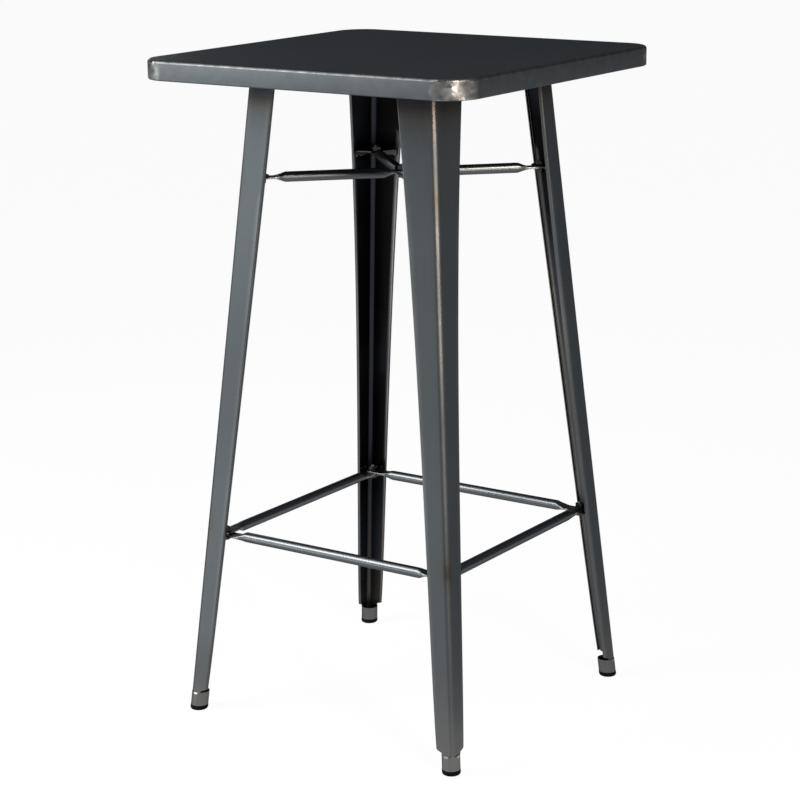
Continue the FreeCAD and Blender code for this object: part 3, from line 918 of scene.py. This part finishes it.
for name, side, eighth_turns in (("brace_over", 1, 1), ("brace_under", -1, 3)):
    brace = pressed_tube(
        brace_bolt * math.sqrt(2), BRACE_FLAT_RUN, (0, side * half_flat, 0), BRACE_MIDDLE_FLAT)
    make_piece(name + "_tube", moved(turned(brace, eighth_turns / 2), 0, 0, BRACE_HEIGHT),
               paler_lit_tube_steel, [name], TUBE_CREASE, tube_values(brace[0]))
print("stretchers:", len(stretcher[1]), "faces each")

# %% [markdown]
# ## Fasteners
# Black zinc hexagon bolts, washers and nuts hold the flat ends. A bare hexagonal prism looks like
# a toy, because a real head is turned on a lathe: its corners are cut back by a shallow cone. The
# cone is in the shape here, and the bolt's end has a real helical thread.

# %% Bolts, washers and nuts
BOLT_RADIUS, BOLT_END = 4.0, 2.5
TIP_LENGTH, TIP_SLOPE, TIP_CUT = 1.2, 0.35, 1.15
THREAD_PITCH, THREAD_DEPTH, THREAD_STEPS = 1.25, 0.62, 6
HEX_FLATS = 13.0
CONE_RADIUS, CONE_SLOPE = HEX_FLATS * 0.485, math.tan(math.radians(30))
SEAT_RADIUS, HEAD_RIM, DISH_RADIUS = HEX_FLATS * 0.47, HEX_FLATS * 0.46, HEX_FLATS * 0.36
HEAD_HEIGHT, HEAD_SEAT, DISH_DEPTH, SHANK_START = 5.3, 0.25, 0.35, -0.3
NUT_HEIGHT, COUNTERSINK_DEPTH, COUNTERSINK_WIDTH = 6.5, 0.7, 0.8
WASHER_RADIUS, WASHER_THICKNESS = 8.0, 1.6
WASHER_EDGE, WASHER_CLEARANCE = 0.3, 0.5
FASTENER_CREASE = 28.0
FIRST_TURN, NEXT_TURN = 0.4, 1.9


def hex_ring(height, cone):
    """A hexagon whose corners a cone cuts back: up with 1, down with -1."""
    ring = []
    for angle in full_turn(CIRCLE_STEPS):
        radius = HEX_FLATS / 2 / math.cos((angle % (math.pi / 3)) - math.pi / 6)
        level = height - cone * max(0.0, radius - CONE_RADIUS) * CONE_SLOPE
        ring.append(Vector((radius * math.cos(angle), radius * math.sin(angle), level)))
    return ring


def shank(low, high):
    """A shank with a helical thread and a cut-back end."""
    rings = []
    for step in range(int((high - low) / THREAD_PITCH * THREAD_STEPS)):
        height = low + step * THREAD_PITCH / THREAD_STEPS
        cut = TIP_SLOPE * max(0.0, height - high + TIP_LENGTH)
        ring = []
        for turn, angle in enumerate(full_turn(CIRCLE_STEPS)):
            phase = (height / THREAD_PITCH - turn / CIRCLE_STEPS) % 1.0
            radius = BOLT_RADIUS - THREAD_DEPTH * abs(2 * phase - 1) - cut
            ring.append(Vector((radius * math.cos(angle), radius * math.sin(angle), height)))
        rings.append(ring)
    return loft(rings + [circle(high, BOLT_RADIUS - TIP_CUT)])


def bolt(length):
    """Head under zero, and a shank up through a length and a nut."""
    head = loft([
        circle(0, SEAT_RADIUS), hex_ring(-HEAD_SEAT, 0), hex_ring(-HEAD_HEIGHT, -1),
        circle(-HEAD_HEIGHT, HEAD_RIM), circle(DISH_DEPTH - HEAD_HEIGHT, DISH_RADIUS)])
    return joined([head, shank(SHANK_START, length + NUT_HEIGHT + BOLT_END)])


def washer(low):
    high = low + WASHER_THICKNESS
    hole, edge = BOLT_RADIUS + WASHER_CLEARANCE, WASHER_RADIUS - WASHER_EDGE
    return loft([
        circle(low, hole), circle(low, edge), circle(low + WASHER_EDGE, WASHER_RADIUS),
        circle(high - WASHER_EDGE, WASHER_RADIUS), circle(high, edge), circle(high, hole)], "joined")


def nut(low):
    high = low + NUT_HEIGHT
    mouth = BOLT_RADIUS + COUNTERSINK_WIDTH
    return loft([
        circle(low + COUNTERSINK_DEPTH, BOLT_RADIUS), circle(low, mouth), circle(low, SEAT_RADIUS),
        hex_ring(low, -1), hex_ring(high, 1), circle(high, SEAT_RADIUS), circle(high, mouth),
        circle(high - COUNTERSINK_DEPTH, BOLT_RADIUS)], "joined")


def stacked(low, grip, washer_below):
    """Bolt, washer and nut through a grip that starts at a height."""
    length = grip + WASHER_THICKNESS
    shapes = (bolt(length), washer(0 if washer_below else grip), nut(length))
    start = low - WASHER_THICKNESS if washer_below else low
    return [moved(shape, 0, 0, start) for shape in shapes]


def set_stacks(prefix, places, low, grip, washer_below):
    """One piece for all the bolts, one for the washers and one for the nuts."""
    names = ("bolt", "washer", "nut") if len(places) == 1 else ("bolts", "washers", "nuts")
    for name, shape in zip(names, stacked(low, grip, washer_below)):
        copies = []
        for number, (x, y) in enumerate(places):
            quarter_turns = (FIRST_TURN + NEXT_TURN * number) * 2 / math.pi
            copies.append(moved(turned(shape, quarter_turns), x, y, 0))
        points, faces = joined(copies)
        # Bolt ends past the nut are bare thread, also painted pale as the glint on their tips.
        bare_and_glint_from = math.inf
        if name.startswith("bolt"):
            bare_and_glint_from = max(point.z for point in points) - BOLT_END
        wear_and_sheen = [1.0 if point.z > bare_and_glint_from else 0.0 for point in points]
        make_piece(prefix + "_hex_" + name, (points, faces), black_zinc,
                   [prefix + "_" + name], FASTENER_CREASE, {"wear_and_sheen": wear_and_sheen})


print("fasteners: M", 2 * BOLT_RADIUS, "with", HEX_FLATS, "mm heads")

# %% Set the fasteners
BRACKET_SHEET, RAIL_SHEET, LEG_PLATE = 2.0, 1.5, 3.0
PLATE_BOLT_INSET, PLATE_BOLT_SPACING = 28.0, 28.0
plate_bolt = corner_at(LEG_TOP) - PLATE_BOLT_INSET
plate_step = PLATE_BOLT_SPACING / 2 / math.sqrt(2)


def four_places(reach):
    return [(reach, reach), (-reach, reach), (-reach, -reach), (reach, -reach)]


rail_places = [(side * (plate_bolt + shift), end * (plate_bolt - shift))
               for shift in (plate_step, -plate_step) for side in (1, -1) for end in (1, -1)]
set_stacks("brace_end", four_places(brace_bolt), BRACE_HEIGHT - half_flat,
           FLAT_THICKNESS + BRACKET_SHEET, True)
set_stacks("stretcher", four_places(stretcher_bolt),
           STRETCHER_HEIGHT - FLAT_THICKNESS - BRACKET_SHEET,
           2 * FLAT_THICKNESS + BRACKET_SHEET, False)
set_stacks("top_rail", rail_places, LEG_TOP - LEG_PLATE, LEG_PLATE + RAIL_SHEET, True)
set_stacks("brace_middle", [(0, 0)], BRACE_HEIGHT - FLAT_THICKNESS, 2 * FLAT_THICKNESS, False)
print("fasteners:", 2 * len(CORNERS) + len(rail_places) + 1, "bolts with their washers and nuts")

# %% [markdown]
# ## Welds
# A weld is a row of drops that froze one over the other, so a bead is a thin round rod along a
# path, with its thickness rising and falling. The brackets are tacked at their tabs' ends, and the
# rails and the leg plates are stitched in short runs, which hold as well and warp the thin sheet
# less. Tacks and stitches each have a radius and a number of drops.

# %% Weld beads
BEAD_STEPS, DROP_STEPS = 10, 4
BEAD_END, BEAD_GROWTH, BEAD_RIPPLE = 0.25, 6, 0.14
TACK, TACK_LENGTH, TACK_DEPTH = (1.3, 2), 4.0, 2.4
TACK_FROM_EDGE, TACK_SPACING = 8.0, 13.0
TACK_HEIGHTS = (STRETCHER_HEIGHT + 4.8, BRACE_HEIGHT - 6.4)
STITCH, STITCH_LENGTH, STITCH_SINK = (1.7, 8), 24.0, 0.5
PLATE_STITCH_START, PLATE_STITCH_DEPTH = 20.0, 1.8
RAIL_WIDTH, RAIL_STITCHES = 56.0, (-150.0, -50.0, 50.0, 150.0)


def bead(path, radii):
    """A rod along a path, with a radius at each point."""
    rings = []
    for number, (point, radius) in enumerate(zip(path, radii)):
        run = path[min(number + 1, len(path) - 1)] - path[max(number - 1, 0)]
        side = run.cross(Vector((0, 0, 1))).normalized()
        rise = side.cross(run).normalized()
        rings.append([point + (side * math.cos(angle) + rise * math.sin(angle)) * radius
                      for angle in full_turn(BEAD_STEPS)])
    return loft(rings)


def stitch(start, end, radius, drops):
    """A straight bead of a few drops, thin at both ends."""
    path, radii = [], []
    steps = DROP_STEPS * drops
    for step in range(steps + 1):
        share = step / steps
        path.append(start.lerp(end, share))
        ends = min(1.0, BEAD_END + BEAD_GROWTH * min(share, 1 - share))
        ripple = 1 + BEAD_RIPPLE * math.sin(step * 2 * math.pi / DROP_STEPS)
        radii.append(radius * ends * ripple)
    return bead(path, radii)


def flange_stitches(height, along, length, depth, kind):
    """The same stitch on both flanges of a leg."""
    start, end = flange_point(height, along, depth), flange_point(height, along + length, depth)
    points, faces = stitch(start, end, *kind)
    return [(points, faces), (mirrored(points), faces)]


corner_welds = []
for height in TACK_HEIGHTS:
    far = flange_at(height) - TACK_FROM_EDGE
    for along in (far, far - TACK_SPACING):
        corner_welds += flange_stitches(height, along, -TACK_LENGTH, TACK_DEPTH, TACK)
corner_welds += flange_stitches(
    LEG_TOP - LEG_PLATE, PLATE_STITCH_START, STITCH_LENGTH, PLATE_STITCH_DEPTH, STITCH)
for count, corner in enumerate(CORNERS):
    make_piece("bracket_weld_" + corner, turned(joined(corner_welds), count), weld_steel)

rail_edge = corner_at(LEG_TOP)
seam_height = TABLE_HEIGHT - TOP_SHEET - STITCH_SINK
rail_welds = []
for edge in (rail_edge + STITCH_SINK, rail_edge - RAIL_WIDTH - STITCH_SINK):
    for place in RAIL_STITCHES:
        start = Vector((place - STITCH_LENGTH / 2, edge, seam_height))
        rail_welds.append(stitch(start, start + Vector((STITCH_LENGTH, 0, 0)), *STITCH))
for side, turns in (("rear", 0), ("front", 2)):
    make_piece("rail_weld_" + side, turned(joined(rail_welds), turns), weld_steel)
print("welds: tacks at the brackets and", 2 * len(rail_welds), "stitches at the rails")

# %% [markdown]
# ## Plates and rails
# The brackets, the plates at the legs' tops and the rails under the tray are plain folded sheet.
# Their solids already have the right shape, so they stay and only get the bracket finish.

# %% Finish the plates that stay
for name, node in nodes.items():
    if not node.hide_render:
        node.data.materials.clear()
        node.data.materials.append(bracket_steel)
        node.data.shade_flat()
        print("finished", name)

# %% [markdown]
# ## Floor and light
# A plain pale floor reaches past the horizon of the picture and shows white to the camera and to
# mirror-like metal, while it still takes the table's soft shadow. Dark metal shows its lamps more
# than its own colour, so most of them are large: a key and a tall wash at the left front, and a
# narrow, warmer pair at the right front for the other faces. A weak lamp behind and two small cards
# near the floor lift the rear edges and the legs' lower ends. The world fills the rest evenly.

# %% Floor
FLOOR_RADIUS, FLOOR_STEPS = 40.0, 64
FLOOR_PALE = (0.86, 0.86, 0.86, 1)
FLOOR_WHITE_SHARE = 0.95


def white_to_view(tree):
    """One for camera, glossy and transmission rays, and nothing for the others."""
    rays = tree.nodes.new("ShaderNodeLightPath")
    seen = math_node(tree, "MAXIMUM", rays.outputs["Is Camera Ray"], rays.outputs["Is Glossy Ray"])
    return math_node(tree, "MAXIMUM", seen, rays.outputs["Is Transmission Ray"])


floor_mesh = bpy.data.meshes.new("floor")
floor_mesh.from_pydata(circle(0, FLOOR_RADIUS, FLOOR_STEPS), [], [tuple(range(FLOOR_STEPS))])
floor = bpy.data.objects.new("floor", floor_mesh)
scene.collection.objects.link(floor)
floor_paint = bpy.data.materials.new("floor_paint")
floor_paint.use_nodes = True
tree = floor_paint.node_tree
tree.nodes.clear()
matt = tree.nodes.new("ShaderNodeBsdfDiffuse")
matt.inputs["Color"].default_value = FLOOR_PALE
glow = tree.nodes.new("ShaderNodeEmission")
blend = tree.nodes.new("ShaderNodeMixShader")
white_share = math_node(tree, "MULTIPLY", white_to_view(tree), FLOOR_WHITE_SHARE)
for socket, source in zip(blend.inputs, (white_share, matt.outputs[0], glow.outputs[0])):
    tree.links.new(source, socket)
output = tree.nodes.new("ShaderNodeOutputMaterial")
tree.links.new(blend.outputs[0], output.inputs["Surface"])
floor_mesh.materials.append(floor_paint)
print("floor radius", FLOOR_RADIUS, "m")

# %% World and lamps
SKY_COLOUR, SKY_LIGHT = (0.9, 0.98, 1.08, 1), 0.18
WHITE = (1.0, 1.0, 1.0)
TABLE_MIDDLE = (0, 0, 0.75)
SOFTBOX_DISTANCE = 2.6
SOFTBOXES = (
    ("key", -39, 26, (1.3, 1.0), 14.0, (1.0, 1.0, 0.98)),
    ("wash", -50, 44, (1.8, 2.4), 2.4, WHITE),
    ("low_left", -47, 1, (1.1, 0.4), 8.5, (0.9, 1.0, 1.0)),
    ("side", 62, 32, (0.5, 0.95), 37.0, (1.0, 0.91, 0.82)),
    ("side_low", 58, 2, (0.4, 0.7), 15.0, (1.0, 0.86, 0.75)),
    ("behind_left", -124, 10, (0.6, 0.5), 5.0, WHITE),
)
CARD_SIZE = (0.5, 0.3)
CARDS = (
    ("card_left", (-0.75, -0.95, 0.16), (-0.225, -0.2, 0.16), 4.0),
    ("card_front", (-0.05, -0.95, 0.16), (-0.015, -0.2, 0.16), 1.0),
)


def hang_lamp(name, place, target, size, brightness, colour):
    """A rectangular lamp that faces a target, with the brightness of its face."""
    lamp = bpy.data.lights.new(name, "AREA")
    lamp.shape = "RECTANGLE"
    lamp.size, lamp.size_y = size
    lamp.energy = brightness * math.pi * size[0] * size[1]
    lamp.color = colour
    holder = bpy.data.objects.new(name, lamp)
    scene.collection.objects.link(holder)
    holder.location = place
    facing = Vector(target) - Vector(place)
    holder.rotation_euler = facing.to_track_quat("-Z", "Y").to_euler()
    holder.visible_camera = False


def around_table(azimuth, elevation):
    """A softbox's place; azimuth runs from the front towards the right."""
    heading, rise = math.radians(azimuth), math.radians(elevation)
    level = Vector((math.sin(heading), -math.cos(heading), 0)) * math.cos(rise)
    away = (level + Vector((0, 0, math.sin(rise)))) * SOFTBOX_DISTANCE
    return Vector(TABLE_MIDDLE) + away


world = bpy.data.worlds.new("studio")
scene.world = world
world.use_nodes = True
sky = world.node_tree.nodes["Background"]
sky.inputs["Color"].default_value = SKY_COLOUR
sky.inputs["Strength"].default_value = SKY_LIGHT
for name, azimuth, elevation, size, brightness, colour in SOFTBOXES:
    place = around_table(azimuth, elevation)
    hang_lamp(name, place, TABLE_MIDDLE, size, brightness, colour)
for name, place, target, brightness in CARDS:
    hang_lamp(name, place, target, CARD_SIZE, brightness, WHITE)

# %% [markdown]
# ## Finish
# The picture keeps the standard view transform. The pieces must stay inside the imported model's
# box.

# %% Set the view transform
scene.view_settings.view_transform = "Standard"
